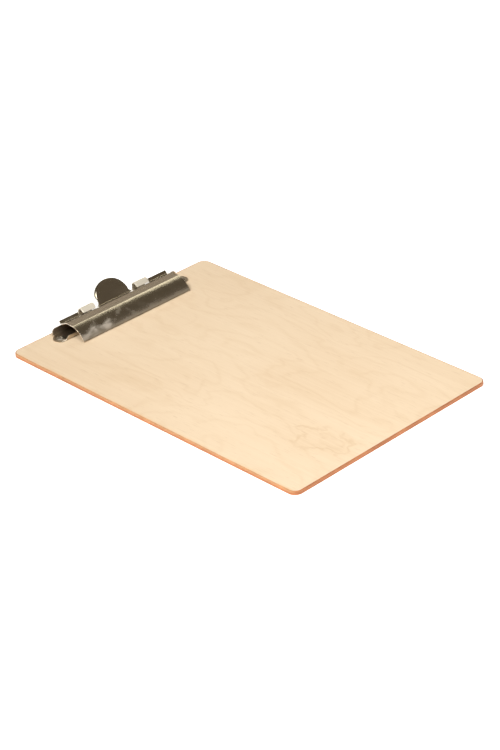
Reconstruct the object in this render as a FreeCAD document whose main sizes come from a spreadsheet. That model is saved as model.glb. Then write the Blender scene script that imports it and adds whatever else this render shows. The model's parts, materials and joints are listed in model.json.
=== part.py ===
import FreeCAD, Part
import math
import os
import Sketcher

# An A4 clipboard: a plywood board with a riveted spring clip across its top end.
# Row frame in millimetres: origin at the centre of the board's underside, +X across the board,
# +Y towards the clip end, +Z up. The pieces of the clip are drawn in a frame of their own, whose
# origin is on the board's top face straight below the line that the jaw plate rocks on.

SIZES = [
    ("board_width", 220.0, "across the board"),
    ("board_length", 315.0, "along the board"),
    ("corner_round", 7.0, "radius of the board's corners"),
    ("face_ply", 1.1, "thickness of the front and back plies"),
    ("core_ply", 1.3, "thickness of the middle ply"),
    ("sheet_gauge", 0.8, "sheet steel of the base plate and the jaw plate"),
    ("rocker_from_center", 152.2, "board centre to the line that the jaw plate rocks on"),
    ("rocker_height", 8.1, "height of the rocking axis above the board's top face"),
    ("rocker_play", 0.1, "running clearance between the jaw plate's valley and the rear wall"),
    ("wall_half_length", 70.5, "half the rear wall's length"),
    ("wall_corner", 3.5, "radius of the rear wall's upper corners"),
    ("lip_from_rocker", 14.1, "rocking axis to the front lip's outer face"),
    ("lip_height", 4.0, "height of the front lip"),
    ("lip_half_length", 67.9, "half the front lip's length at its foot"),
    ("lip_end_slant", 3.1, "how much shorter each lip end is at its top"),
    ("fold_radius", 0.6, "inside radius of the base plate's folds"),
    ("rivet_half_spacing", 69.0, "clip centre to a rivet, across the board"),
    ("rivet_from_rocker", 8.0, "rocking axis to the rivets, along the board"),
    ("ear_radius", 6.1, "round end of the base plate about each rivet"),
    ("rivet_radius", 2.0, "rivet shank"),
    ("rivet_head_radius", 3.8, "rivet's domed head"),
    ("rivet_head_height", 1.4, "rivet's domed head"),
    ("rivet_tail_radius", 3.4, "rivet's flush tail in the underside"),
    ("rivet_tail_depth", 1.0, "depth of the tail's cone"),
    ("jaw_length", 121.0, "length of the jaw plate"),
    ("valley_radius", 0.5, "upper side of the bend that the jaw plate rocks on"),
    ("crease_radius", 1.2, "outside radius of the two creases"),
    ("flange_lean", 50.0, "rise of the flange and the thumb tab, in degrees"),
    ("flange_leg", 3.0, "valley to the flange's edge"),
    ("slope_angle", 27.0, "rise of the slope in front of the valley, in degrees"),
    ("slope_leg", 7.5, "valley to the rear crease"),
    ("top_fall", 2.0, "fall of the flat top towards the tip, in degrees"),
    ("top_leg", 7.8, "rear crease to front crease"),
    ("nose_upper_fall", 13.4, "fall of the nose just below the front crease, in degrees"),
    ("nose_upper_leg", 9.4, "front crease to the corner that the nose is rounded about"),
    ("nose_lower_fall", 60.8, "fall of the nose at its tip, in degrees"),
    ("nose_radius", 19.5, "outside radius of the nose"),
    ("tip_gap", 0.3, "jaw tip to the board with no paper in the clip"),
    ("tooth_pitch", 1.7, "spacing of the teeth along the tip"),
    ("tooth_depth", 0.8, "depth of the teeth"),
    ("tab_half_width", 16.9, "thumb tab's half width at its widest"),
    ("tab_half_height", 13.8, "thumb tab's half height along the sheet"),
    ("tab_centre", 4.5, "valley to the middle of the thumb tab's oval"),
    ("tab_neck", 3.2, "valley to the tab's neck, and the radius of its reliefs"),
    ("tab_rim", 2.6, "depth of the thumb tab's turned-back rim"),
    ("window_outer", 40.0, "clip centre to the far end of a spring window"),
    ("window_setback", 1.0, "how far in front of the valley a spring window reaches"),
    ("spring_width", 14.0, "width of a spring strip"),
    ("spring_gauge", 0.7, "thickness of a spring strip"),
    ("spring_from_center", 30.5, "clip centre to the middle of a spring"),
    ("spring_back", 4.8, "rocking axis to the back of a spring"),
    ("spring_top", 12.1, "height of a spring above the board's top face"),
    ("spring_foot_radius", 3.8, "outside radius of a spring's lower bend"),
    ("spring_head_radius", 3.0, "outside radius of a spring's upper bend"),
    ("spring_lip_fall", 40.0, "fall of a spring's lip towards the slope, in degrees"),
    ("spring_lip_height", 9.4, "height of the end of a spring's lip"),
    ("slot_play", 0.4, "room round a spring in its slot in the rear wall"),
]

doc = FreeCAD.newDocument("clipboard")
sheet = doc.addObject("Spreadsheet::Sheet", "Sizes")
for row, (alias, value, meaning) in enumerate(SIZES, start=1):
    sheet.set("A%d" % row, meaning)
    sheet.set("B%d" % row, str(value))
    sheet.setAlias("B%d" % row, alias)
doc.recompute()


def size(alias):
    """The value of one cell of the sheet."""
    return float(sheet.get(alias))


def toward(point, angle, length):
    """The 2-D point at a distance and a direction, in degrees, from another one."""
    turn = math.radians(angle)
    return (point[0] + length * math.cos(turn), point[1] + length * math.sin(turn))


# ---- Sketches ------------------------------------------------------------------------------


def new_body(label, on_clip=True):
    """A body, placed on the board's top face at the clip's frame unless it is part of the board."""
    body = doc.addObject("PartDesign::Body", label)
    body.Label = label
    if on_clip:
        body.setExpression("Placement.Base.y", "Sizes.rocker_from_center")
        body.setExpression("Placement.Base.z", "2 * Sizes.face_ply + Sizes.core_ply")
    return body


def new_sketch(body, name, role, offset=None):
    """A sketch on one of the body's own origin planes, moved off it by an offset if one is given."""
    sketch = body.newObject("Sketcher::SketchObject", name)
    plane = next(feature for feature in body.Origin.OriginFeatures if feature.Role == role)
    sketch.AttachmentSupport = [(plane, "")]
    sketch.MapMode = "FlatFace"
    if offset is not None:
        sketch.AttachmentOffset = offset
    return sketch


def line(start, end):
    return Part.LineSegment(FreeCAD.Vector(*start, 0), FreeCAD.Vector(*end, 0))


def arc(centre, radius, start_angle, end_angle):
    """An arc about a centre, from one angle to another in degrees, either way round."""
    points = [toward(centre, angle, radius)
              for angle in (start_angle, (start_angle + end_angle) / 2, end_angle)]
    return Part.Arc(*[FreeCAD.Vector(*point, 0) for point in points])


def add_outline(sketch, edges):
    """Adds a closed run of edges to a sketch."""
    for edge in edges:
        sketch.addGeometry(edge, False)


def add_polygon(sketch, points):
    add_outline(sketch, [line(a, b) for a, b in zip(points, points[1:] + points[:1])])


def add_circle(sketch, centre, name, radius):
    """Adds a circle whose radius is bound to an expression."""
    circle = Part.Circle(FreeCAD.Vector(*centre, 0), FreeCAD.Vector(0, 0, 1), 1.0)
    index = sketch.addGeometry(circle, False)
    number = sketch.addConstraint(Sketcher.Constraint("Radius", index, 1.0))
    sketch.renameConstraint(number, name)
    sketch.setExpression("Constraints." + name, radius)


def extrude(body, kind, sketch, length, symmetric=False, backward=False):
    """A pad or a pocket of the last solid, with its length bound to an expression."""
    feature = body.newObject("PartDesign::" + kind, sketch.Name + "_" + kind.lower())
    feature.Profile = sketch
    feature.setExpression("Length", length)
    if symmetric:
        feature.SideType = "Symmetric"
    feature.Reversed = backward
    doc.recompute()
    return feature


def bent_strip(points, radii, gauge):
    """The closed outline of a bent strip of sheet.

    points run along one face of the strip, with a bend at each inner point whose radius on that
    face is in radii. The other face lies to the right of the run, one gauge away."""
    near, far = [], []
    last_near = points[0]
    heading = math.degrees(math.atan2(points[1][1] - points[0][1], points[1][0] - points[0][0]))
    last_far = toward(points[0], heading - 90, gauge)
    for before, corner, after, radius in zip(points, points[1:], points[2:], radii):
        leave = math.degrees(math.atan2(after[1] - corner[1], after[0] - corner[0]))
        turn = (leave - heading + 180) % 360 - 180
        side = 90 if turn > 0 else -90
        reach = radius * math.tan(math.radians(abs(turn) / 2))
        centre = toward(toward(corner, heading, -reach), heading + side, radius)
        other = radius + gauge if turn > 0 else radius - gauge
        angles = (heading - side, heading - side + turn)
        for edges, last, bend in ((near, last_near, radius), (far, last_far, other)):
            edges.append(line(last, toward(centre, angles[0], bend)))
            edges.append(arc(centre, bend, *angles))
        last_near = toward(centre, angles[1], radius)
        last_far = toward(centre, angles[1], other)
        heading = leave
    end_far = toward(points[-1], heading - 90, gauge)
    near.append(line(last_near, points[-1]))
    far.append(line(last_far, end_far))
    start_cap = line(points[0], (far[0].StartPoint.x, far[0].StartPoint.y))
    end_cap = line(points[-1], end_far)
    return near + [end_cap] + far + [start_cap]


# ---- Board: three plies of birch, glued together -------------------------------------------


def make_ply(label, thickness, bottom):
    """One ply: a rectangle with round corners, and a hole for each rivet."""
    body = new_body(label, on_clip=False)
    body.setExpression("Placement.Base.z", bottom)
    sketch = new_sketch(body, label + "_outline", "XY_Plane")
    half_w, half_l = size("board_width") / 2, size("board_length") / 2
    add_polygon(sketch, [(-half_w, -half_l), (half_w, -half_l), (half_w, half_l), (-half_w, half_l)])
    for index in range(4):
        sketch.addConstraint(Sketcher.Constraint("Coincident", index, 2, (index + 1) % 4, 1))
    for index in (0, 2):
        sketch.addConstraint(Sketcher.Constraint("Horizontal", index))
    for index in (1, 3):
        sketch.addConstraint(Sketcher.Constraint("Vertical", index))
    sketch.addConstraint(Sketcher.Constraint("Symmetric", 0, 1, 2, 1, -1, 1))
    width = sketch.addConstraint(Sketcher.Constraint("DistanceX", 0, 1, 0, 2, 2 * half_w))
    sketch.renameConstraint(width, "width")
    sketch.setExpression("Constraints.width", "Sizes.board_width")
    length = sketch.addConstraint(Sketcher.Constraint("DistanceY", 1, 1, 1, 2, 2 * half_l))
    sketch.renameConstraint(length, "length")
    sketch.setExpression("Constraints.length", "Sizes.board_length")
    pad = extrude(body, "Pad", sketch, thickness)

    corners = body.newObject("PartDesign::Fillet", label + "_corners")
    corners.Base = (pad, ["Edge%d" % (number + 1) for number, edge in enumerate(pad.Shape.Edges)
                          if edge.BoundBox.XLength + edge.BoundBox.YLength < 1e-6])
    corners.setExpression("Radius", "Sizes.corner_round")
    doc.recompute()

    holes = new_sketch(body, label + "_holes", "XY_Plane")
    rivet_y = size("rocker_from_center") - size("rivet_from_rocker")
    for name, side in (("left", -1), ("right", 1)):
        add_circle(holes, (side * size("rivet_half_spacing"), rivet_y), name, "Sizes.rivet_radius")
    extrude(body, "Pocket", holes, "2 * " + thickness, symmetric=True)
    return body


def make_back_ply():
    """The back ply, countersunk from below for the rivets' flush tails."""
    body = make_ply("back_ply", "Sizes.face_ply", "0 mm")
    for name, side in (("left", -1), ("right", 1)):
        cone = body.newObject("PartDesign::SubtractiveCone", "countersink_" + name)
        cone.setExpression("Radius1", "Sizes.rivet_tail_radius")
        cone.setExpression("Radius2", "Sizes.rivet_radius")
        cone.setExpression("Height", "Sizes.rivet_tail_depth")
        cone.setExpression("Placement.Base.x", "%d * Sizes.rivet_half_spacing" % side)
        cone.setExpression("Placement.Base.y", "Sizes.rocker_from_center - Sizes.rivet_from_rocker")
        doc.recompute()
    return body


# ---- Base plate: a folded channel riveted to the board -------------------------------------


def front_view(body, name, y):
    """A sketch in a plane across the clip at y: its axes are X and Z, and it faces -Y."""
    return new_sketch(body, name, "XZ_Plane", FreeCAD.Placement(FreeCAD.Vector(0, 0, -y),
                                                                FreeCAD.Rotation()))


def make_base_plate():
    """Floor with two ears, a low front lip, and a rear wall that the jaw plate rocks on."""
    body = new_body("base_plate")
    gauge = size("sheet_gauge")
    half = size("wall_half_length")
    front = -size("lip_from_rocker")
    back = gauge / 2
    rivet_x, rivet_y, ear = size("rivet_half_spacing"), -size("rivet_from_rocker"), size("ear_radius")

    floor = new_sketch(body, "floor", "XY_Plane")
    shoulder = math.degrees(math.acos((half - rivet_x) / ear))
    meet = toward((rivet_x, rivet_y), shoulder, ear)
    add_outline(floor, [
        line((-rivet_x, front), (rivet_x, front)),
        arc((rivet_x, rivet_y), ear, -90, shoulder),
        line(meet, (half, back)),
        line((half, back), (-half, back)),
        line((-half, back), (-meet[0], meet[1])),
        arc((-rivet_x, rivet_y), ear, 180 - shoulder, 270),
    ])
    extrude(body, "Pad", floor, "Sizes.sheet_gauge")

    lip = front_view(body, "lip", front)
    foot, head = size("lip_half_length"), size("lip_half_length") - size("lip_end_slant")
    top = size("lip_height")
    add_polygon(lip, [(-foot, gauge / 2), (foot, gauge / 2), (foot, gauge), (head, top),
                      (-head, top), (-foot, gauge)])
    extrude(body, "Pad", lip, "Sizes.sheet_gauge", backward=True)

    wall = front_view(body, "wall", back)
    top = size("rocker_height") - size("valley_radius") - gauge - size("rocker_play")
    round_off = size("wall_corner")
    inner = half - round_off
    add_outline(wall, [
        line((-half, gauge / 2), (half, gauge / 2)),
        line((half, gauge / 2), (half, top - round_off)),
        arc((inner, top - round_off), round_off, 0, 90),
        line((inner, top), (-inner, top)),
        arc((-inner, top - round_off), round_off, 90, 180),
        line((-half, top - round_off), (-half, gauge / 2)),
    ])
    solid = extrude(body, "Pad", wall, "Sizes.sheet_gauge")

    folds = body.newObject("PartDesign::Fillet", "folds")
    folds.Base = (solid, ["Edge%d" % (number + 1) for number, edge in enumerate(solid.Shape.Edges)
                          if edge.Length > 2 * head
                          and abs(edge.CenterOfMass.z - gauge) < 1e-6
                          and front + gauge / 2 < edge.CenterOfMass.y < 0])
    folds.setExpression("Radius", "Sizes.fold_radius")
    doc.recompute()

    slots = front_view(body, "slots", back)
    spring_x = size("spring_from_center")
    half_slot = size("spring_width") / 2 + size("slot_play")
    slot_top = gauge + size("spring_gauge") + size("slot_play")
    for side in (-1, 1):
        left, right = side * spring_x - half_slot, side * spring_x + half_slot
        add_polygon(slots, [(left, gauge), (right, gauge), (right, slot_top), (left, slot_top)])
    extrude(body, "Pocket", slots, "Sizes.sheet_gauge + 2 * Sizes.fold_radius", backward=True)

    holes = new_sketch(body, "ear_holes", "XY_Plane")
    for name, side in (("left", -1), ("right", 1)):
        add_circle(holes, (side * rivet_x, rivet_y), name, "Sizes.rivet_radius")
    extrude(body, "Pocket", holes, "4 * Sizes.sheet_gauge", symmetric=True)
    return body


# ---- Jaw plate: one pressing, with the gripping nose, the rocking valley and the thumb tab --


def jaw_run():
    """The jaw plate's upper face from tip to flange edge, as points in the clip's Y and Z."""
    lean, slope = size("flange_lean"), size("slope_angle")
    half_turn = math.radians((lean + slope) / 2)
    valley = toward((0, size("rocker_height")), (lean - slope) / 2 - 90,
                    size("valley_radius") / math.cos(half_turn))
    flange_edge = toward(valley, lean, size("flange_leg"))
    rear_crease = toward(valley, 180 - slope, size("slope_leg"))
    front_crease = toward(rear_crease, 180 + size("top_fall"), size("top_leg"))
    nose = toward(front_crease, 180 + size("nose_upper_fall"), size("nose_upper_leg"))
    fall = size("nose_lower_fall")
    drop = nose[1] - size("tip_gap") - size("sheet_gauge") * math.cos(math.radians(fall))
    tip = toward(nose, 180 + fall, drop / math.sin(math.radians(fall)))
    return [tip, nose, front_crease, rear_crease, valley, flange_edge]


def tab_sketch(body, name):
    """A sketch on the upper face of the flange: X, and the distance up the flange from the valley."""
    valley = jaw_run()[4]
    lean = FreeCAD.Rotation(FreeCAD.Vector(1, 0, 0), size("flange_lean"))
    return new_sketch(body, name, "XY_Plane", FreeCAD.Placement(FreeCAD.Vector(0, *valley), lean))


def tab_oval(inset):
    """The part of the thumb tab's oval above its neck, and its right and left end points."""
    width, height = size("tab_half_width") - inset, size("tab_half_height") - inset
    middle, neck = size("tab_centre"), size("tab_neck")
    start = math.asin((neck - middle) / height)
    oval = Part.Ellipse(FreeCAD.Vector(0, middle, 0), width, height)
    right = (width * math.cos(start), neck)
    return Part.ArcOfEllipse(oval, start, math.pi - start), right, (-right[0], neck)


def make_jaw_plate():
    body = new_body("jaw_plate")
    gauge = size("sheet_gauge")
    crease = size("crease_radius")

    profile = new_sketch(body, "jaw_profile", "YZ_Plane")
    radii = [size("nose_radius"), crease, crease, size("valley_radius")]
    add_outline(profile, bent_strip(jaw_run(), radii, gauge))
    extrude(body, "Pad", profile, "Sizes.jaw_length", symmetric=True)

    arc_of_oval, right, left = tab_oval(0)
    neck = size("tab_neck")
    window_inner = right[0] + neck
    windows = new_sketch(body, "spring_windows", "XY_Plane")
    front, back = -size("window_setback"), 2 * size("flange_leg")
    for side in (-1, 1):
        near, far = side * window_inner, side * size("window_outer")
        add_polygon(windows, [(near, front), (far, front), (far, back), (near, back)])
    extrude(body, "Pocket", windows, "4 * Sizes.rocker_height", symmetric=True)

    reliefs = tab_sketch(body, "neck_reliefs")
    for name, side in (("left", -1), ("right", 1)):
        add_circle(reliefs, (side * window_inner, neck), name, "Sizes.tab_neck")
    extrude(body, "Pocket", reliefs, "3 * Sizes.sheet_gauge", symmetric=True)

    foot = neck / 4
    tab = tab_sketch(body, "thumb_tab")
    add_outline(tab, [arc_of_oval, line(left, (left[0], foot)), line((left[0], foot), (right[0], foot)),
                      line((right[0], foot), right)])
    extrude(body, "Pad", tab, "Sizes.sheet_gauge", backward=True)

    inner_arc, inner_right, inner_left = tab_oval(gauge)
    rim = tab_sketch(body, "tab_rim_outline")
    add_outline(rim, [arc_of_oval, line(left, inner_left), inner_arc, line(inner_right, right)])
    extrude(body, "Pad", rim, "Sizes.tab_rim", backward=True)

    pitch, depth = size("tooth_pitch"), size("tooth_depth")
    count = int(size("jaw_length") / pitch)
    first = -(count - 1) / 2 * pitch
    base = size("tip_gap")
    tooth = front_view(body, "tooth_gap", 0)
    add_polygon(tooth, [(first - pitch / 2, base - depth), (first + pitch / 2, base - depth),
                        (first + pitch / 2, base), (first, base + depth), (first - pitch / 2, base)])
    gap = extrude(body, "Pocket", tooth, "3 * Sizes.lip_from_rocker", backward=True)
    teeth = body.newObject("PartDesign::LinearPattern", "teeth")
    teeth.Originals = [gap]
    teeth.Direction = (tooth, ["H_Axis"])
    teeth.Length = (count - 1) * pitch
    teeth.Occurrences = count
    body.Tip = teeth
    doc.recompute()
    return body


# ---- Springs: flat strips that hook over the jaw plate from behind --------------------------


def make_spring(label, side):
    """A C of spring strip: foot on the base plate's floor, lip on the slope before the valley."""
    body = new_body(label)
    body.setExpression("Placement.Base.x", "%d * Sizes.spring_from_center" % side)
    gauge, strip = size("sheet_gauge"), size("spring_gauge")
    toe = (size("sheet_gauge") + size("fold_radius") + 0.1 - size("lip_from_rocker"), gauge)
    heel = (size("spring_back"), gauge)
    fall = math.radians(size("spring_lip_fall"))
    bend = size("spring_head_radius")
    head = (heel[0], size("spring_top") - bend + bend * (math.tan(fall) + 1 / math.cos(fall)))
    lip = toward(head, 180 + size("spring_lip_fall"), (head[1] - size("spring_lip_height")) / math.sin(fall))
    outer = [lip, head, heel, toe]
    radii = [bend, size("spring_foot_radius")]
    profile = new_sketch(body, label + "_profile", "YZ_Plane")
    add_outline(profile, bent_strip(outer, radii, strip))
    extrude(body, "Pad", profile, "Sizes.spring_width", symmetric=True)
    return body


# ---- Rivets: domed above the ears, flush below the board ------------------------------------


def make_rivet(label, side):
    body = new_body(label)
    body.setExpression("Placement.Base.x", "%d * Sizes.rivet_half_spacing" % side)
    body.setExpression("Placement.Base.y", "Sizes.rocker_from_center - Sizes.rivet_from_rocker")
    shank, head, tall = size("rivet_radius"), size("rivet_head_radius"), size("rivet_head_height")
    tail, depth = size("rivet_tail_radius"), size("rivet_tail_depth")
    seat = size("sheet_gauge")
    under = -(2 * size("face_ply") + size("core_ply"))
    dome = (head ** 2 + tall ** 2) / (2 * tall)
    edge = math.degrees(math.asin((dome - tall) / dome))
    section = new_sketch(body, label + "_section", "XZ_Plane")
    add_outline(section, [
        line((0, under), (tail, under)),
        line((tail, under), (shank, under + depth)),
        line((shank, under + depth), (shank, seat)),
        line((shank, seat), (head, seat)),
        arc((0, seat + tall - dome), dome, edge, 90),
        line((0, seat + tall), (0, under)),
    ])
    turned = body.newObject("PartDesign::Revolution", label + "_turned")
    turned.Profile = section
    turned.ReferenceAxis = (section, ["V_Axis"])
    turned.Angle = 360
    doc.recompute()
    return body


bodies = [
    make_back_ply(),
    make_ply("core_ply", "Sizes.core_ply", "Sizes.face_ply"),
    make_ply("face_ply", "Sizes.face_ply", "Sizes.face_ply + Sizes.core_ply"),
    make_base_plate(),
    make_rivet("left_rivet", -1),
    make_rivet("right_rivet", 1),
    make_spring("left_spring", -1),
    make_spring("right_spring", 1),
    make_jaw_plate(),
]
doc.recompute()

for item in doc.Objects:
    if any(state in item.State for state in ("Invalid", "Error")):
        raise RuntimeError("%s is %s" % (item.Name, item.State))
os.makedirs("parts", exist_ok=True)
for body in bodies:
    shape = body.Shape
    if shape.isNull() or not shape.isValid() or len(shape.Solids) != 1:
        raise RuntimeError("%s has no sound solid" % body.Label)
    box = shape.BoundBox
    print("%-12s %9.1f mm3  x %.2f..%.2f  y %.2f..%.2f  z %.2f..%.2f" % (
        body.Label, shape.Volume, box.XMin, box.XMax, box.YMin, box.YMax, box.ZMin, box.ZMax))
    shape.exportStep("parts/%s.step" % body.Label)
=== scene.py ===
import json
import math

import bmesh
import bpy
import numpy as np
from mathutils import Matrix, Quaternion, Vector


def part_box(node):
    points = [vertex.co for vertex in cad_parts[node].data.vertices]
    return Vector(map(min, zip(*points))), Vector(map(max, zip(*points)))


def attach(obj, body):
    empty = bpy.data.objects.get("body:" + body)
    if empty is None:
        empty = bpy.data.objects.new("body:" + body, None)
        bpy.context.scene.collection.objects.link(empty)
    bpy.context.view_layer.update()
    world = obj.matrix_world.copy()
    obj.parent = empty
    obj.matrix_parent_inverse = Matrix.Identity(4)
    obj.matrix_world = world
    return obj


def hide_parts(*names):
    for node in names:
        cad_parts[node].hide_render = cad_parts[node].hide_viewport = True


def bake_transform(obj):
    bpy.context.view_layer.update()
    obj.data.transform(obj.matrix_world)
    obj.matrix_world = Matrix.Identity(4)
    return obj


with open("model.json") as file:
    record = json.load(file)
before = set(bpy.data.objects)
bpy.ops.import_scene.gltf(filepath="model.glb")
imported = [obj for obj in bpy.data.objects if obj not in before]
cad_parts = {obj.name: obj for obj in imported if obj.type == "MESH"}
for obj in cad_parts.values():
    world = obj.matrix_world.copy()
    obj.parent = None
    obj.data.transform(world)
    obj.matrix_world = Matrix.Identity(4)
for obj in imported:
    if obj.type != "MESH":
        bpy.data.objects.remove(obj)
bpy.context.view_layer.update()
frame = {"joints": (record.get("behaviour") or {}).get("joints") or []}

MM = 0.001

# ---- Board --------------------------------------------------------------------------------------
# Three birch veneers glued into a thin board, cut with round corners and sanded. The face is pale
# and clear-sealed. The cut edge was brushed with an orange brown stain, which crept a little way
# onto the face along one long side.

CORNER_ROUND = 7.0 * MM
SANDED = 0.35 * MM
board_low, board_high = (np.array(corner) for corner in (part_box("back_ply")[0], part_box("face_ply")[1]))
rivet_spots = [np.array(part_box(node)).mean(axis=0)[:2] for node in ("left_rivet", "right_rivet")]


class Shade:
    """A node socket that Python can calculate with: each operation adds one Math node."""

    def __init__(self, finish, socket):
        self.finish = finish
        self.socket = socket

    def math(self, operation, *others):
        values = dict(enumerate((self,) + others))
        return self.finish.add("ShaderNodeMath", {"operation": operation}, values)["Value"]

    def __add__(self, other):
        return self.math("ADD", other)

    def __sub__(self, other):
        return self.math("SUBTRACT", other)

    def __rsub__(self, other):
        return self * -1.0 + other

    def __mul__(self, other):
        return self.math("MULTIPLY", other)

    __radd__ = __add__
    __rmul__ = __mul__

    def wave(self):
        """A sine between 0 and 1."""
        return self.math("SINE") * 0.5 + 0.5

    def ramp(self, low, high):
        """0 below low, 1 above high, and a smooth S between them."""
        settings = {"interpolation_type": "SMOOTHSTEP"}
        values = {"Value": self, "From Min": low, "From Max": high}
        return self.finish.add("ShaderNodeMapRange", settings, values)["Result"]


class Finish:
    """A material under construction, with one principled shader."""

    def __init__(self, name):
        self.material = bpy.data.materials.new(name)
        self.material.use_nodes = True
        self.tree = self.material.node_tree
        self.shader = self.tree.nodes["Principled BSDF"]

    def add(self, kind, settings=None, sockets=None):
        """Adds a node, gives it its settings, then the values or links of its sockets.

        Returns the outputs in use, by name, as Shades."""
        node = self.tree.nodes.new(kind)
        for name, value in (settings or {}).items():
            setattr(node, name, value)
        for name, value in (sockets or {}).items():
            self.plug(node.inputs[name], value)
        return {out.name: Shade(self, out) for out in node.outputs if out.enabled}

    def plug(self, socket, value):
        """Links a Shade to a socket, or sets the socket's own value."""
        if isinstance(value, Shade):
            self.tree.links.new(value.socket, socket)
        else:
            socket.default_value = (*value, 1.0) if socket.type == "RGBA" else value

    def place(self, scale=(1.0, 1.0, 1.0), about=(0.0, 0.0, 0.0)):
        """Object coordinates measured from a point, then multiplied by a scale along each axis."""
        here = self.add("ShaderNodeTexCoord")["Object"]
        moved = self.add("ShaderNodeVectorMath", {"operation": "SUBTRACT"}, {0: here, 1: about})["Vector"]
        return self.add("ShaderNodeVectorMath", {"operation": "MULTIPLY"}, {0: moved, 1: scale})["Vector"]

    def axes(self, vector):
        """The three numbers of a vector."""
        return tuple(self.add("ShaderNodeSeparateXYZ", None, {0: vector}).values())

    def length(self, vector):
        """A vector's length."""
        return self.add("ShaderNodeVectorMath", {"operation": "LENGTH"}, {0: vector})["Value"]

    def noise(self, vector, detail=3.0, distortion=0.0):
        """Cloudy noise, mostly between 0.25 and 0.75, with one cell per unit of the vector."""
        values = {"Vector": vector, "Scale": 1.0, "Detail": detail, "Distortion": distortion}
        return self.add("ShaderNodeTexNoise", None, values)["Fac"]

    def mix(self, factor, first, second):
        """A colour between two others."""
        return self.add("ShaderNodeMix", {"data_type": "RGBA"}, {0: factor, 6: first, 7: second})["Result"]

    def bump(self, height, distance):
        """Raises the surface by height times a distance in metres."""
        values = {"Height": height, "Distance": distance}
        self.set(Normal=self.add("ShaderNodeBump", None, values)["Normal"])

    def set(self, **sockets):
        """Sets or links the shader's own sockets."""
        for name, value in sockets.items():
            self.plug(self.shader.inputs[name.replace("_", " ")], value)
        return self


def birch_veneer(name, knot, mark_at, cut_from=(0.0, 0.0, 0.0)):
    """Rotary-cut birch: fine fibres along the board, faint contour lines where the knife cut across
    the rings, pores, the swirl round a small knot, and the ghost of a round mark. Each sheet's
    pattern is drawn from a point of its own."""
    wood = Finish(name)
    fibre = wood.noise(wood.place((520.0, 9.0, 40.0), about=cut_from), detail=4.0)
    band = wood.noise(wood.place((62.0, 5.0, 9.0), about=cut_from), detail=3.0)
    cloud = wood.noise(wood.place((11.0, 8.0, 9.0), about=cut_from), detail=2.0)
    drift = wood.noise(wood.place((17.0, 8.0, 9.0), about=cut_from), detail=3.0, distortion=0.4)
    across = wood.axes(wood.place())[0]
    flame = ((across * 0.35 + drift * 0.11) * 560.0).wave().math("POWER", 4.0)
    pores = wood.noise(wood.place((1300.0, 95.0, 90.0), about=cut_from), detail=1.0).ramp(0.64, 0.74)
    ripple = wood.noise(wood.place((75.0, 48.0, 9.0), about=cut_from), detail=3.0)
    around = wood.length(wood.place((1.0, 0.62, 0.0), about=knot))
    from_knot = around + drift * 0.040 + ripple * 0.030 + cloud * 0.014
    halo = 1 - from_knot.ramp(0.046, 0.068)
    swirl = 1 - (from_knot - 0.0555).math("ABSOLUTE").ramp(0.0003, 0.0024)
    inner = 1 - (from_knot - 0.0475).math("ABSOLUTE").ramp(0.0004, 0.0034)
    from_mark = wood.length(wood.place((1.0, 1.0, 0.0), about=mark_at))
    mark = (1 - (from_mark - 0.017).math("ABSOLUTE").ramp(0.0004, 0.0022)) * band.ramp(0.35, 0.6)
    ringed = swirl * band.ramp(0.30, 0.60) * 0.22 + inner * band.ramp(0.36, 0.62) * 0.11 + mark * 0.08
    tone = fibre * 0.26 + band * 0.22 + cloud * 0.40 + flame * 0.09 + halo * 0.08 + ringed
    clear = wood.mix(tone.ramp(0.22, 0.98), PALE_BIRCH, WARM_BIRCH)
    marked = wood.mix(pores * 0.16, clear, BARK_BROWN)
    seep = wood.noise(wood.place((60.0, 45.0, 1.0), about=cut_from)).ramp(0.25, 0.60)
    creep = (across * -1.0).ramp(0.1066, 0.1100) * seep
    wood.set(Base_Color=wood.mix(creep * 0.70, marked, STAIN_TINT), Roughness=fibre * 0.18 + 0.44)
    wood.set(Coat_Weight=0.04, Coat_Roughness=0.45, Specular_IOR_Level=0.32)
    wood.bump(fibre * 0.7 - pores * 0.6 + band * 0.4, 0.03 * MM)
    return wood.material


def stained_edge(name):
    """The cut edge: end and side grain under an orange brown stain, darkest at the glue lines, with a
    painted highlight along the top of the left long side.
    """
    edge = Finish(name)
    streak = edge.noise(edge.place((90.0, 90.0, 2400.0)), detail=3.0)
    blotch = edge.noise(edge.place((38.0, 38.0, 60.0)), detail=3.0)
    height = edge.axes(edge.place())[2]
    glue = sum(1 - (height - level).math("ABSOLUTE").ramp(0.05 * MM, 0.22 * MM) for level in glue_levels)
    rims = height.ramp(2.9 * MM, 3.5 * MM) + (1 - height.ramp(0.0, 0.5 * MM)) * 0.5
    tone = streak * 0.70 + blotch * 0.40 + glue * 0.16 + rims * 0.16
    stained = edge.mix(tone.ramp(0.35, 1.0), ORANGE_STAIN, BROWN_STAIN)
    # Only the upper part of the left long side is mixed lighter here: a painted highlight along that edge's
    # top, not sanding.
    sanded = (edge.axes(edge.place())[0] * -1.0).ramp(0.1075, 0.1098) * height.ramp(1.7 * MM, 2.8 * MM)
    edge.set(Base_Color=edge.mix(sanded * 0.40, stained, STAIN_TINT), Roughness=streak * 0.2 + 0.5)
    edge.bump(streak - glue * 0.5, 0.08 * MM)
    return edge.material


PALE_BIRCH = (0.725, 0.592, 0.435)
WARM_BIRCH = (0.600, 0.440, 0.280)
BARK_BROWN = (0.36, 0.20, 0.10)
STAIN_TINT = (0.68, 0.42, 0.20)
ORANGE_STAIN = (0.58, 0.225, 0.082)
BROWN_STAIN = (0.26, 0.080, 0.028)
glue_levels = [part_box(node)[0][2] for node in ("core_ply", "face_ply")]


def grid_quads(rows, columns, first=0, closed=False):
    """The corner numbers of the quads between a grid's points; closed joins the last column
    to the first."""
    corner = first + np.arange(rows * columns).reshape(rows, columns)
    if closed:
        corner = np.column_stack([corner, corner[:, 0]])
    return np.stack([corner[:-1, :-1], corner[:-1, 1:], corner[1:, 1:], corner[1:, :-1]], -1)


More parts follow.
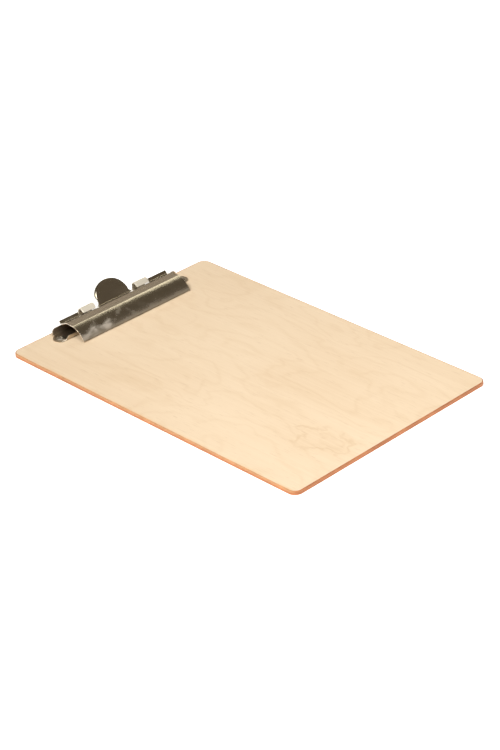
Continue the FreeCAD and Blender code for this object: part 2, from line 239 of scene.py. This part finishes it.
def surface(name, patches, materials, fill_levels=(), sharp=35.0):
    """An object from patches of (grid of points, mask of quads or None, closed, material number).

    Patches are joined where they meet. Open edges that lie at a fill level are filled flat, and
    normals are then turned outwards."""
    points, quads, numbers, first = [], [], [], 0
    for grid, keep, closed, number in patches:
        rows, columns = grid.shape[:2]
        faces = grid_quads(rows, columns, first, closed)
        faces = faces.reshape(-1, 4) if keep is None else faces[keep]
        points.append(grid.reshape(-1, 3))
        quads.append(faces)
        numbers.append(np.full(len(faces), number))
        first += rows * columns
    mesh = bpy.data.meshes.new(name)
    mesh.from_pydata(np.concatenate(points).tolist(), [], np.concatenate(quads).tolist())
    mesh.polygons.foreach_set("material_index", np.concatenate(numbers))
    skin = bmesh.new()
    skin.from_mesh(mesh)
    bmesh.ops.remove_doubles(skin, verts=skin.verts, dist=0.002 * MM)
    bmesh.ops.dissolve_degenerate(skin, edges=skin.edges, dist=0.0001 * MM)
    bmesh.ops.delete(skin, geom=[vert for vert in skin.verts if not vert.link_faces], context="VERTS")
    for level in fill_levels:
        rim = [edge for edge in skin.edges if edge.is_boundary
               and all(abs(vert.co.z - level) < 0.001 * MM for vert in edge.verts)]
        bmesh.ops.triangle_fill(skin, edges=rim, use_beauty=True)
    if fill_levels:
        bmesh.ops.recalc_face_normals(skin, faces=skin.faces)
    skin.to_mesh(mesh)
    skin.free()
    for material in materials:
        mesh.materials.append(material)
    mesh.shade_smooth()
    mesh.set_sharp_from_angle(angle=math.radians(sharp))
    piece = bpy.data.objects.new(name, mesh)
    bpy.context.collection.objects.link(piece)
    return piece


def turned(section, centre, steps=48):
    """A section of (radius, height) turned about an upright axis: x = r cos a, y = r sin a."""
    turn = np.linspace(0, 2 * math.pi, steps, endpoint=False)
    radius, height = np.array(section)[:, :1], np.array(section)[:, 1:]
    return np.stack([centre[0] + radius * np.cos(turn), centre[1] + radius * np.sin(turn),
                     height + 0 * turn], -1)


def board_outline(inset, steps=14):
    """A rectangle with round corners, anticlockwise: each corner's centre plus a radius turned
    through a quarter circle, drawn in by an array of insets."""
    half = (board_high - board_low)[:2] / 2
    centre = (board_high + board_low)[:2] / 2
    quarter = np.repeat(np.arange(4), steps)
    angle = np.tile(np.linspace(0, math.pi / 2, steps), 4) + math.pi / 2 * quarter
    corner = np.array([(1, 1), (-1, 1), (-1, -1), (1, -1)])[quarter] * (half - CORNER_ROUND)
    spoke = np.stack([np.cos(angle), np.sin(angle)], -1)
    return centre + corner + (CORNER_ROUND - np.array(inset)[:, None, None]) * spoke


FLAT_MARGIN = 0.8 * MM
RIVET_SHANK = 2.0 * MM
RIVET_TAIL = 3.4 * MM
RIVET_TAIL_DEPTH = 1.0 * MM


def make_ply(node, veneer, sanded_top, sanded_bottom):
    """One ply: the outline carried up a section of (inset, height), and the rivets' holes.

    A sanded corner is a quarter circle in inset and height. The section begins and ends a little
    way in on the flats, which are filled."""
    low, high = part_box(node)[0][2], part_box(node)[1][2]
    turn = np.linspace(0, math.pi / 2, 5)
    inset = np.concatenate([[FLAT_MARGIN], sanded_bottom * (1 - np.sin(turn)),
                            sanded_top * (1 - np.cos(turn)), [FLAT_MARGIN]])
    height = np.concatenate([[low], low + sanded_bottom * (1 - np.cos(turn)),
                             high - sanded_top * (1 - np.sin(turn)), [high]])
    outline = board_outline(inset)
    side = np.concatenate([outline, np.broadcast_to(height[:, None, None], outline.shape[:2] + (1,))], -1)
    hole = [(RIVET_SHANK, low), (RIVET_SHANK, high)]
    if low == board_low[2]:
        hole = [(RIVET_TAIL, low), (RIVET_SHANK, low + RIVET_TAIL_DEPTH), (RIVET_SHANK, high)]
    patches = [(side, None, True, 1)] + [(turned(hole, spot), None, True, 0) for spot in rivet_spots]
    return surface(node + "_veneer", patches, [veneer, edge_stain], fill_levels=(low, high))


face_veneer = birch_veneer("birch_face_veneer", knot=(-0.042, -0.122, 0.0), mark_at=(0.022, 0.101, 0.0))
# The back sheet has no round mark: the place given for it is off the board.
back_veneer = birch_veneer("birch_back_veneer", knot=(0.052, 0.030, 0.0), mark_at=(-0.310, 0.0, 0.0),
                           cut_from=(0.24, 0.36, 0.02))
edge_stain = stained_edge("edge_stain")
for node, veneer, slot, sanded_top, sanded_bottom in (
        ("back_ply", back_veneer, "birch_face", 0.0, SANDED),
        ("core_ply", back_veneer, "birch_core", 0.0, 0.0),
        ("face_ply", face_veneer, "birch_face", SANDED, 0.0)):
    ply = make_ply(node, veneer, sanded_top, sanded_bottom)
    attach(ply, "board")
    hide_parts(node)

# ---- Base plate ---------------------------------------------------------------------------------
# One strip of nickel-plated sheet steel folded into a shallow channel: a low lip in front, a floor
# with a round ear at each end for the rivets, and a rear wall whose top edge carries the jaw.
# Two slots at the foot of the wall let the springs through.

GAUGE = 0.8 * MM
hinge = np.array(frame["joints"][0]["pos_m"])
board_top = board_high[2]


def toward(point, angle, length):
    """The point at a length and a direction, in degrees, from another one."""
    heading = math.radians(angle)
    return np.array(point) + length * np.array([math.cos(heading), math.sin(heading)])


class Fold:
    """A line bent along a run of points, with a radius at each inner point.

    Its heading is constant on a straight and turns evenly on a bend, so that
    y(s) = y0 + (sin(h) - sin(h0)) / k and z(s) = z0 - (cos(h) - cos(h0)) / k for a curvature k."""

    def __init__(self, points, radii):
        points = np.array(points, float)
        legs = np.diff(points, axis=0)
        headings = np.unwrap(np.arctan2(legs[:, 1], legs[:, 0]))
        lengths = np.hypot(legs[:, 0], legs[:, 1])
        turns = np.diff(headings)
        reach = np.concatenate([[0], np.array(radii) * np.tan(np.abs(turns) / 2), [0]])
        self.starts, self.places, self.headings, self.bends = [0.0], [points[0]], [headings[0]], []
        for i, length in enumerate(lengths):
            self.extend(length - reach[i] - reach[i + 1], 0.0)
            if i < len(turns):
                self.extend(radii[i] * abs(turns[i]), math.copysign(1 / radii[i], turns[i]))
        self.length = self.starts[-1]
        self.corners = [(self.starts[2 * i + 1] + self.starts[2 * i + 2]) / 2 for i in range(len(turns))]

    def extend(self, length, bend):
        place, heading = self.places[-1], self.headings[-1]
        self.bends.append(bend)
        self.starts.append(self.starts[-1] + length)
        self.places.append(place + self.step(heading, bend, length))
        self.headings.append(heading + bend * length)

    @staticmethod
    def step(heading, bend, length):
        straight = np.stack([np.cos(heading) * length, np.sin(heading) * length], -1)
        safe = np.where(bend == 0, 1.0, bend)
        after = heading + bend * length
        round_ = np.stack([(np.sin(after) - np.sin(heading)) / safe,
                           (np.cos(heading) - np.cos(after)) / safe], -1)
        return np.where(np.asarray(bend == 0)[..., None], straight, round_)

    def at(self, s):
        """The (y, z) of an array of distances along the line. It runs on straight past both ends."""
        s = np.asarray(s, float)
        part = np.clip(np.searchsorted(self.starts, s, side="right") - 1, 0, len(self.bends) - 1)
        start, bend = np.array(self.starts)[part], np.array(self.bends)[part]
        return np.array(self.places)[part] + self.step(np.array(self.headings)[part], bend, s - start)

    def rows(self, coarse, fine_turn=math.radians(9), extra=()):
        """Distances that follow the line: a row every coarse metres and every few degrees of bend."""
        stops = []
        for start, end, bend in zip(self.starts, self.starts[1:], self.bends):
            turn = abs(bend) * (end - start)
            steps = max(1, math.ceil((end - start) / coarse), math.ceil(turn / fine_turn))
            stops.append(np.linspace(start, end, steps + 1))
        values = np.unique(np.round(np.concatenate(stops + [np.array(extra, float)]), 9))
        return values[np.concatenate([[True], np.diff(values) > 2e-6])]


def pressed_sheet(name, patches, gauge, material, soften=0.12 * MM):
    """A pressing: its upper face from patches of (grid, mask), given its thickness on the far side
    and slightly rounded edges."""
    piece = surface(name, [(grid, keep, False, 0) for grid, keep in patches], [material], sharp=40.0)
    wall = piece.modifiers.new("gauge", "SOLIDIFY")
    wall.thickness = gauge
    wall.offset = -1
    rounding = piece.modifiers.new("edges", "BEVEL")
    rounding.width = soften
    rounding.segments = 2
    rounding.limit_method = "ANGLE"
    rounding.angle_limit = math.radians(50)
    return piece


def nickel_plate(name, color, roughness, metallic=1.0, brushed=0.10, cloudy=0.0, waviness=0.3,
                 worn=None, bare=None, dark=None):
    """Nickel plate on rolled sheet: rolling lines along the clip, a slow waviness, and cloudy smears
    where handling has dulled it, most of them low on the nose's left half; where dulled, the colour is
    mixed lighter grey, partly bloom and partly a painted reflection. The functions worn, bare and dark
    make masks of where it is rubbed dull, of sheared ends whose bare steel is painted bright cream as a
    highlight, and of places darkened as painted shade."""
    plate = Finish(name)
    lines = plate.noise(plate.place((22.0, 2300.0, 2300.0)), detail=3.0)
    slow = plate.noise(plate.place((34.0, 90.0, 90.0)), detail=2.0, distortion=0.5)
    clouds = plate.noise(plate.place((95.0, 130.0, 130.0), about=SMEARS_FROM), detail=3.0, distortion=0.2)
    smear = clouds.ramp(0.42, 0.80)
    handled = 1 - plate.length(plate.place((22.0, 0.0, 135.0), about=HANDLED)).ramp(0.30, 1.30)
    dulled = smear * (handled * 0.95 + 0.10)
    if worn:
        dulled = (dulled + worn(plate) * 0.30).math("MINIMUM", 1.0)
    plate.set(Metallic=metallic, Roughness=dulled * cloudy + lines * brushed + slow * 0.06 + roughness)
    dim = tuple(0.62 * part for part in color)
    shade = plate.mix(lines * 0.5 + slow * 0.5, color, dim)
    # Lighter grey where dulled: partly bloom from handling and paper, partly a painted reflection.
    shade = plate.mix(dulled * 0.6, shade, BLOOM_AND_REFLECTION_GREY)
    if bare:
        # The sheared ends are mixed to bright cream: a painted highlight on the cut edges.
        shade = plate.mix(bare(plate), shade, CUT_END_HIGHLIGHT)
    if dark:
        # Darkened where dark is 1: painted shade, not tarnish (the tab's turned-back rim, the spring lip's
        # end).
        shade = plate.mix(dark(plate) * 0.85, shade, PAINTED_SHADE_COLOUR)
    plate.set(Base_Color=shade)
    plate.bump(slow * waviness + lines * 0.03 + smear * 0.02, 0.5 * MM)
    return plate.material


# Grey of the smears: partly bloom, partly a painted reflection.
BLOOM_AND_REFLECTION_GREY = (0.74, 0.68, 0.62)
# Bright cream of the cut ends: a painted highlight.
CUT_END_HIGHLIGHT = (0.95, 0.88, 0.79)
# Dark colour of painted shade.
PAINTED_SHADE_COLOUR = (0.11, 0.095, 0.045)
HANDLED = (-0.029, 0.0, 0.0066)
SMEARS_FROM = (0.017, 0.0, 0.0)
LIP_HALF = 67.9 * MM
LIP_HEIGHT = 4.0 * MM
LIP_SLANT = 3.1 * MM
FOLD_OUTSIDE = 1.2 * MM
WALL_CORNER = 3.5 * MM
EAR_RADIUS = 6.1 * MM
ear_x = abs(rivet_spots[0][0])
base_low, base_high = (np.array(corner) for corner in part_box("base_plate"))
steel = nickel_plate("nickel_plate", (0.68, 0.59, 0.47), 0.22)


def base_plate_half_length(y, z, wall_half):
    """Half the strip's length: the lip's slanted end, then the ear's circle, then the wall's corner.

    ear: x = ear_x + sqrt(r^2 - (y - y_rivet)^2), not shorter than the wall; corner: a quarter
    circle taken off the wall's end near its top."""
    lip = LIP_HALF - LIP_SLANT * np.clip((z - board_top - GAUGE) / (LIP_HEIGHT - GAUGE), 0, 1)
    ear = ear_x + np.sqrt(np.clip(EAR_RADIUS ** 2 - (y - rivet_spots[0][1]) ** 2, 0, None))
    rise = np.clip(z - (base_high[2] - WALL_CORNER), 0, WALL_CORNER)
    wall = wall_half - WALL_CORNER + np.sqrt(np.clip(WALL_CORNER ** 2 - rise ** 2, 0, None))
    on_lip = y < base_low[1] + FOLD_OUTSIDE * 0.3
    on_wall = z > board_top + FOLD_OUTSIDE
    return np.where(on_lip, lip, np.where(on_wall, wall, np.maximum(ear, wall_half)))


WALL_HALF = 70.5 * MM
SLOT_PLAY = 0.4 * MM
SLOT_RISE = 1.1 * MM
channel = Fold([(base_low[1], board_top + LIP_HEIGHT), (base_low[1], board_top),
                (base_high[1], board_top), (base_high[1], base_high[2])], [FOLD_OUTSIDE, FOLD_OUTSIDE])
spring_box = {side: np.array(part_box(side + "_spring")) for side in ("left", "right")}
slot_ends = [edge + play for side in ("left", "right")
             for edge, play in zip(spring_box[side][:, 0], (-SLOT_PLAY, SLOT_PLAY))]
floor_end = channel.starts[3]
slot_low = floor_end
slot_high = channel.length - (base_high[2] - board_top - GAUGE - SLOT_RISE)
s = channel.rows(0.7 * MM, extra=[slot_low, slot_high])
y, z = channel.at(s).T
half = base_plate_half_length(y, z, WALL_HALF)
across = np.concatenate([np.linspace(-WALL_HALF, WALL_HALF, 81), slot_ends])
columns = np.unique(np.round(across, 7)) / WALL_HALF
grid = np.stack([half[:, None] * columns, np.repeat(y[:, None], len(columns), 1),
                 np.repeat(z[:, None], len(columns), 1)], -1)
mid_s = ((s[:-1] + s[1:]) / 2)[:, None]
mid_x = ((columns[:-1] + columns[1:]) / 2 * WALL_HALF)[None, :]
in_slot = (mid_s > slot_low) & (mid_s < slot_high) & (
    ((mid_x > slot_ends[0]) & (mid_x < slot_ends[1])) | ((mid_x > slot_ends[2]) & (mid_x < slot_ends[3])))
base_plate = pressed_sheet("base_channel", [(grid[:, ::-1], ~in_slot[:, ::-1])], GAUGE, steel)
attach(base_plate, "board")
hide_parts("base_plate")

# ---- Rivets -------------------------------------------------------------------------------------
# Two soft steel rivets hold the base plate to the board through its ears. Each has a low domed head
# on the ear, and its tail is spread into a countersink so that it ends flush with the back.

rivet_steel = nickel_plate("rivet_nickel", (0.90, 0.84, 0.75), 0.20)
RIVET_HEAD = 3.8 * MM
HEAD_EDGE = 0.15 * MM


def make_rivet(node):
    """A rivet's half section turned about its axis. The head is an arc of radius (r^2 + h^2) / 2h,
    which rolls under at its edge, then come the shank and the spread tail."""
    low, high = (np.array(corner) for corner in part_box(node))
    seat = board_top + GAUGE
    rise = high[2] - seat
    dome = (RIVET_HEAD ** 2 + rise ** 2) / (2 * rise)
    arc = np.linspace(0, math.asin((RIVET_HEAD - HEAD_EDGE) / dome), 12)
    head = np.stack([dome * np.sin(arc), high[2] - dome + dome * np.cos(arc)], -1)
    under = [(RIVET_HEAD, seat + HEAD_EDGE), (RIVET_HEAD - HEAD_EDGE / 2, seat), (RIVET_SHANK, seat),
             (RIVET_SHANK, low[2] + RIVET_TAIL_DEPTH), (RIVET_TAIL, low[2]), (0.0, low[2])]
    section = np.concatenate([head, under])
    return surface(node + "_turned", [(turned(section, (low + high) / 2), None, True, 0)],
                   [rivet_steel], fill_levels=(low[2],), sharp=50.0)


for node in ("left_rivet", "right_rivet"):
    rivet = make_rivet(node)
    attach(rivet, "board")
    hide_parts(node)

# ---- Jaw plate ----------------------------------------------------------------------------------
# One pressing of the same plated sheet. Its nose curves down to a toothed edge that bites the paper,
# its valley rocks on the base plate's rear wall, and behind that its edge turns up into a flange,
# with two windows for the springs and an oval thumb tab whose rim is turned back.

FLANGE_LEAN = 50.0
FLANGE_WIDTH = 3.0 * MM
SLOPE = 27.0
SLOPE_WIDTH = 7.5 * MM
TOP_FALL = 2.0
TOP_WIDTH = 7.8 * MM
NOSE_FALL = 13.4
NOSE_WIDTH = 9.4 * MM
TIP_FALL = 60.8
VALLEY_RADIUS = 0.5 * MM
CREASE_RADIUS = 1.2 * MM
NOSE_RADIUS = 19.5 * MM
TOOTH_PITCH = 1.7 * MM
TOOTH_DEPTH = 0.8 * MM
TAB_WIDTH = 16.9 * MM
TAB_HEIGHT = 13.8 * MM
TAB_MIDDLE = 4.5 * MM
TAB_NECK = 3.2 * MM
TAB_RIM = 2.52 * MM
RIM_ROLL = 1.0 * MM
WINDOW_OUTER = 40.0 * MM
WINDOW_SETBACK = 1.0 * MM
jaw_low, jaw_high = (np.array(corner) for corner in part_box("jaw_plate"))

valley = toward(hinge[1:], (FLANGE_LEAN - SLOPE) / 2 - 90,
                VALLEY_RADIUS / math.cos(math.radians(FLANGE_LEAN + SLOPE) / 2))
rear_crease = toward(valley, 180 - SLOPE, SLOPE_WIDTH)
front_crease = toward(rear_crease, 180 + TOP_FALL, TOP_WIDTH)
nose = toward(front_crease, 180 + NOSE_FALL, NOSE_WIDTH)
tip_height = jaw_low[2] + GAUGE * math.cos(math.radians(TIP_FALL))
tip = toward(nose, 180 + TIP_FALL, (nose[1] - tip_height) / math.sin(math.radians(TIP_FALL)))
flange_edge = toward(valley, FLANGE_LEAN, FLANGE_WIDTH)
pressing = Fold([tip, nose, front_crease, rear_crease, valley, flange_edge],
                [NOSE_RADIUS, CREASE_RADIUS, CREASE_RADIUS, VALLEY_RADIUS])
valley_s = pressing.corners[3]

half_length = (jaw_high[0] - jaw_low[0]) / 2
neck_half = TAB_WIDTH * math.cos(math.asin((TAB_NECK - TAB_MIDDLE) / TAB_HEIGHT))
window_inner = neck_half + TAB_NECK
window_s = valley_s - (valley[0] - hinge[1] + WINDOW_SETBACK) / math.cos(math.radians(SLOPE))
tooth_row = TOOTH_DEPTH / math.sin(math.radians(TIP_FALL))
s = pressing.rows(1.4 * MM, fine_turn=math.radians(5), extra=[tooth_row * 1.25, window_s, valley_s])
s = s[(s == 0) | (s > tooth_row * 1.2)]
teeth = int(2 * half_length / TOOTH_PITCH)
tooth_lines = (np.arange(2 * teeth + 1) - teeth) * TOOTH_PITCH / 2
x = np.unique(np.round(np.concatenate([tooth_lines, [-half_length, half_length, -WINDOW_OUTER, WINDOW_OUTER,
                                                     -window_inner, window_inner]]), 7))
x = x[np.concatenate([[True], np.diff(x) > 0.05 * MM])]
toothed = np.abs(x) < teeth * TOOTH_PITCH / 2 + 1e-6
from_gap = np.abs((x / TOOTH_PITCH + 0.5) % 1 - 0.5) * 2
cut = np.where(toothed, tooth_row * (1 - from_gap), 0.0)
along = s[:, None] + np.where(s[:, None] == 0, cut[None, :], 0.0)
yz = pressing.at(along)
grid = np.concatenate([np.broadcast_to(x[None, :, None], along.shape + (1,)), yz], -1)
mid_s = ((s[:-1] + s[1:]) / 2)[:, None]
mid_x = np.abs((x[:-1] + x[1:]) / 2)[None, :]
keep = (mid_s < window_s) | (mid_x > WINDOW_OUTER) | ((mid_x < window_inner) & (mid_s < valley_s))

lean = np.array([0.0, math.cos(math.radians(FLANGE_LEAN)), math.sin(math.radians(FLANGE_LEAN))])
backward = np.array([0.0, lean[2], -lean[1]])
sweep = np.linspace(math.asin((TAB_NECK - TAB_MIDDLE) / TAB_HEIGHT), math.pi / 2, 34)
fade = np.clip((sweep - sweep[0]) / 0.45, 0, 1)
fade = fade * fade * (3 - 2 * fade)
roll = RIM_ROLL * fade
flare = np.linspace(0, TAB_NECK, 9)[:-1]
flare_half = window_inner - np.sqrt(np.clip(TAB_NECK ** 2 - (TAB_NECK - flare) ** 2, 0, None))
half_tab = np.concatenate([flare_half, (TAB_WIDTH - roll) * np.cos(sweep)])
rise = np.concatenate([flare, TAB_MIDDLE + (TAB_HEIGHT - roll) * np.sin(sweep)])
tab_x = x[np.abs(x) < window_inner + 1e-6] / window_inner
tab_yz = pressing.at(valley_s + rise)
tab_grid = np.stack([half_tab[:, None] * tab_x, np.repeat(tab_yz[:, :1], len(tab_x), 1),
                     np.repeat(tab_yz[:, 1:], len(tab_x), 1)], -1)

side = np.concatenate([-np.ones(len(sweep)), np.ones(len(sweep) - 1)])
order = np.concatenate([np.arange(len(sweep)), np.arange(len(sweep) - 1)[::-1]])
angle, rolled, faded = sweep[order], roll[order], fade[order]
rim = np.concatenate([tab_grid[len(flare):, 0], tab_grid[len(flare):-1, -1][::-1]])
outward = np.stack([side * TAB_HEIGHT * np.cos(angle), TAB_WIDTH * np.sin(angle)], -1)
outward /= np.linalg.norm(outward, axis=1)[:, None]
outward = outward[:, :1] * np.array([1.0, 0, 0]) + outward[:, 1:] * lean
curl = np.linspace(0, math.pi / 2, 7)[:, None, None]
rolling = rim + rolled[:, None] * (np.sin(curl) * outward + (1 - np.cos(curl)) * backward)
skirt = np.linspace(0, 1, 4)[1:, None, None]
hanging = rolling[-1] + skirt * (faded * (TAB_RIM - RIM_ROLL))[:, None] * backward
rim_grid = np.concatenate([rolling, hanging])


def painted_shade_behind_tab(plate):
    """1 on the turned-back rim, which is darkened there as painted shade: the distance behind the tab's
    plane, from the valley's corner.
    """
    _, back, up = plate.axes(plate.place(about=(0.0, *valley)))
    return (back * float(backward[1]) + up * float(backward[2])).ramp(0.05 * MM, 0.35 * MM)


def rubbed_edge(plate):
    """0 halfway up the nose and 1 at the toothed edge, where paper slides under it."""
    _, back, up = plate.axes(plate.place(about=(0.0, nose[0], board_top)))
    return (1 - up.ramp(0.5 * MM, 8.0 * MM)) * (1 - back.ramp(0.0, 4.0 * MM))


def sheared_ends(plate):
    """1 on the pressing's two ends, which were cut after it was plated; their bright cream colour is a
    painted highlight.
    """
    across = plate.axes(plate.place())[0]
    return across.math("ABSOLUTE").ramp(half_length - 0.10 * MM, half_length - 0.04 * MM)


jaw_steel = nickel_plate("nickel_plate_jaw", (0.66, 0.60, 0.50), 0.10, cloudy=0.40, waviness=0.18,
                         worn=rubbed_edge, bare=sheared_ends, dark=painted_shade_behind_tab)
jaw = pressed_sheet("jaw_pressing", [(grid, keep), (tab_grid, None), (rim_grid, None)], GAUGE, jaw_steel)
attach(jaw, "jaw")
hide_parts("jaw_plate")

# ---- Springs ------------------------------------------------------------------------------------
# Two C-shaped strips of spring steel. The foot lies on the base plate's floor and passes back through
# the wall, and the lip comes over the jaw plate and presses on its slope, so the clip snaps shut.

SPRING_GAUGE = 0.7 * MM
SPRING_TOE = 12.6 * MM
LIP_FALL = 40.0
LIP_END = 9.4 * MM
HEAD_BEND = 3.0 * MM
FOOT_BEND = 3.8 * MM
LIP_CORNER = 1.2 * MM


def painted_lip_shadow(plate):
    """1 at the lip's sheared end, which is low and in front of the strip's back; the strip is darkened
    there as a painted shadow of the gap under the lip.
    """
    _, back, up = plate.axes(plate.place(about=(0.0, hinge[1], board_top + LIP_END)))
    return (1 - up.ramp(-0.25 * MM, 0.15 * MM)) * (1 - back.ramp(-1.6 * MM, -1.0 * MM))


# The lip's end is darkened: a painted shadow line where the lip meets the jaw.
spring_plate = nickel_plate("spring_strip", (1.0, 0.94, 0.81), 0.28, metallic=0.48, brushed=0.26,
                            waviness=0.15, dark=painted_lip_shadow)


def with_thickness(piece):
    """The piece with its modifiers made part of its mesh."""
    seen = piece.evaluated_get(bpy.context.evaluated_depsgraph_get())
    piece.data = bpy.data.meshes.new_from_object(seen)
    piece.modifiers.clear()
    return piece


def make_spring(side):
    """A strip x in [-w/2, w/2] folded along its outer face, from the toe round the back to the lip,
    with the lip's two corners rounded off by a quarter circle."""
    low, high = spring_box[side]
    centre, half_width = (low[0] + high[0]) / 2, (high[0] - low[0]) / 2
    fall = math.radians(LIP_FALL)
    head = (high[1], high[2] - HEAD_BEND + HEAD_BEND * (math.tan(fall) + 1 / math.cos(fall)))
    lip_leg = (head[1] - board_top - LIP_END) / math.sin(fall)
    strip = Fold([(hinge[1] - SPRING_TOE, low[2]), (high[1], low[2]), head,
                  toward(head, 180 + LIP_FALL, lip_leg)], [FOOT_BEND, HEAD_BEND])
    s = strip.rows(0.8 * MM, fine_turn=math.radians(7),
                   extra=strip.length - LIP_CORNER * (1 - np.cos(np.linspace(0, math.pi / 2, 6))))
    into = np.clip(s - (strip.length - LIP_CORNER), 0, LIP_CORNER)
    width = half_width - LIP_CORNER + np.sqrt(np.clip(LIP_CORNER ** 2 - into ** 2, 0, None))
    t = np.linspace(-1, 1, 13)
    y, z = strip.at(s).T
    grid = np.stack([centre + width[:, None] * t, np.repeat(y[:, None], len(t), 1),
                     np.repeat(z[:, None], len(t), 1)], -1)
    strip_patch = [(grid[:, ::-1], None)]
    return with_thickness(pressed_sheet(side + "_spring_strip", strip_patch, SPRING_GAUGE, spring_plate))


for side in ("left", "right"):
    spring = make_spring(side)
    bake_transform(spring)
    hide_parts(side + "_spring")

# ---- Setting ------------------------------------------------------------------------------------
# A plain white light table under soft studio light. The camera stands in front of the board's left
# lower corner, and its height is measured from the board's top.

FLOOR_REACH = 20.0
FLOOR_GAP = 0.02 * MM
floor_mesh = bpy.data.meshes.new("table_top")
floor_mesh.from_pydata([(x * FLOOR_REACH, y * FLOOR_REACH, board_low[2] - FLOOR_GAP)
                        for x, y in ((-1, -1), (1, -1), (1, 1), (-1, 1))], [], [(0, 1, 2, 3)])
floor = bpy.data.objects.new("table_top", floor_mesh)
bpy.context.collection.objects.link(floor)
white = Finish("table_white").set(Base_Color=(0.93, 0.93, 0.93), Roughness=0.8)
white.set(Emission_Color=(1.0, 1.0, 1.0), Emission_Strength=0.45)
# The table is clear from underneath, so that the board's back can be looked at.
faces = {0: white.add("ShaderNodeNewGeometry")["Backfacing"], 1: Shade(white, white.shader.outputs["BSDF"]),
         2: white.add("ShaderNodeBsdfTransparent")["BSDF"]}
one_sided = white.add("ShaderNodeMixShader", None, faces)["Shader"]
white.plug(white.tree.nodes["Material Output"].inputs["Surface"], one_sided)
floor_mesh.materials.append(white.material)

world = bpy.data.worlds.new("studio")
bpy.context.scene.world = world
world.use_nodes = True
world.node_tree.nodes["Background"].inputs["Color"].default_value = (0.13, 0.105, 0.075, 1.0)
bpy.context.scene.view_settings.view_transform = "Standard"


def lamp(name, kind, direction, distance, power, color, **settings):
    """A light at a direction and a distance from the clip, turned towards it."""
    light = bpy.data.lights.new(name, kind)
    light.energy = power
    light.color = color
    for setting, value in settings.items():
        setattr(light, setting, value)
    holder = bpy.data.objects.new(name, light)
    holder.location = Vector(hinge) + Vector(direction).normalized() * distance
    holder.rotation_euler = Vector(direction).to_track_quat("Z", "Y").to_euler()
    holder.visible_camera = False
    bpy.context.collection.objects.link(holder)


lamp("overhead", "SUN", (-0.78, 0.06, 1.0), 2.0, 2.62, (1.0, 0.985, 0.955), angle=math.radians(22))
lamp("front_box", "AREA", (-0.16, -0.58, 0.80), 0.80, 3.85, (1.0, 0.985, 0.955),
     shape="RECTANGLE", size=0.45, size_y=0.45)
lamp("rim_strip", "AREA", (0.613, 0.375, 0.695), 1.8, 1.5, (1.0, 0.96, 0.78),
     shape="RECTANGLE", size=0.9, size_y=0.22)
lamp("back_card", "AREA", (0.613, 0.600, 0.500), 1.8, 0.48, (1.0, 0.86, 0.74),
     shape="RECTANGLE", size=1.1, size_y=0.42)
lamp("low_card", "AREA", (0.613, -0.72, 0.285), 1.8, 0.95, (1.0, 0.90, 0.78),
     shape="RECTANGLE", size=1.3, size_y=0.62)

LENS = 108.95
STANDPOINT = Vector((-1.11098, -1.11296, 0.89763 + board_top))
LOOKED_AT = Vector((-0.0082, -0.0129, board_top))
ROLL = -1.66
camera = bpy.data.objects.new("camera", bpy.data.cameras.new("camera"))
bpy.context.collection.objects.link(camera)
bpy.context.scene.camera = camera
camera.data.lens = LENS
camera.data.sensor_width = 36.0
camera.location = STANDPOINT
aim = (LOOKED_AT - STANDPOINT).to_track_quat("-Z", "Y")
camera.rotation_mode = "QUATERNION"
camera.rotation_quaternion = aim @ Quaternion((0, 0, 1), math.radians(ROLL))
